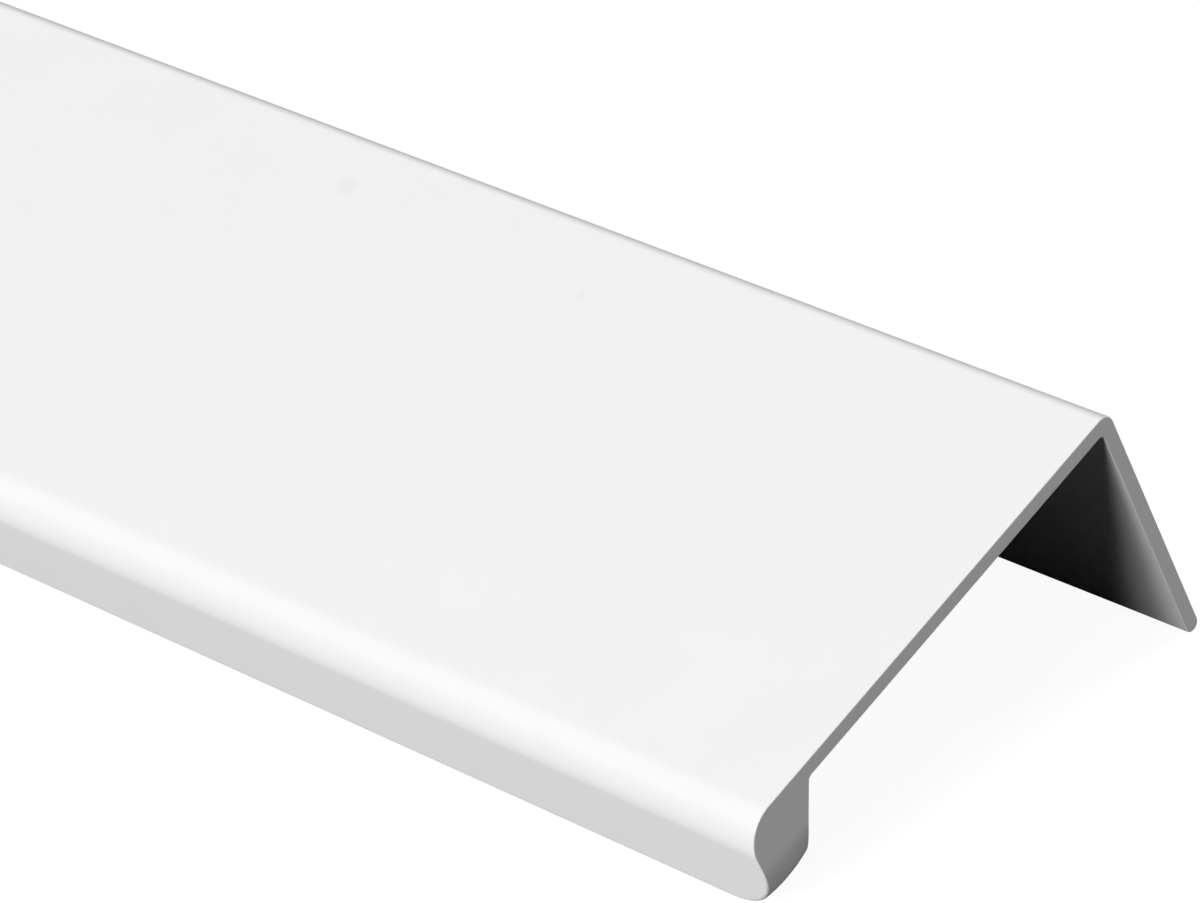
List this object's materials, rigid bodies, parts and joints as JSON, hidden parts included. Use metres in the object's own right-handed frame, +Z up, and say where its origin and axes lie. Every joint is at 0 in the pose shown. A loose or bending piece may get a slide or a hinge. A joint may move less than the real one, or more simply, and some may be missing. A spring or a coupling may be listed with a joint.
{
  "type": "finger pull profile",
  "caption": "White extruded edge profile for a drawer or door front: flat plate, flange behind the board and solid rounded nose to pull on.",
  "frame": {"origin": "centre of the footprint on the floor, as the profile lies unheld on its flange edge and its nose", "axes": "+X along the profile, -Y towards the nose, +Z up"},
  "size_m": [0.297, 0.044, 0.0208],
  "materials": {
    "white_coat": "matt white powder coat on aluminium"
  },
  "bodies": {
    "root": {"finger_pull_profile": "white_coat"}
  },
  "joints": []
}
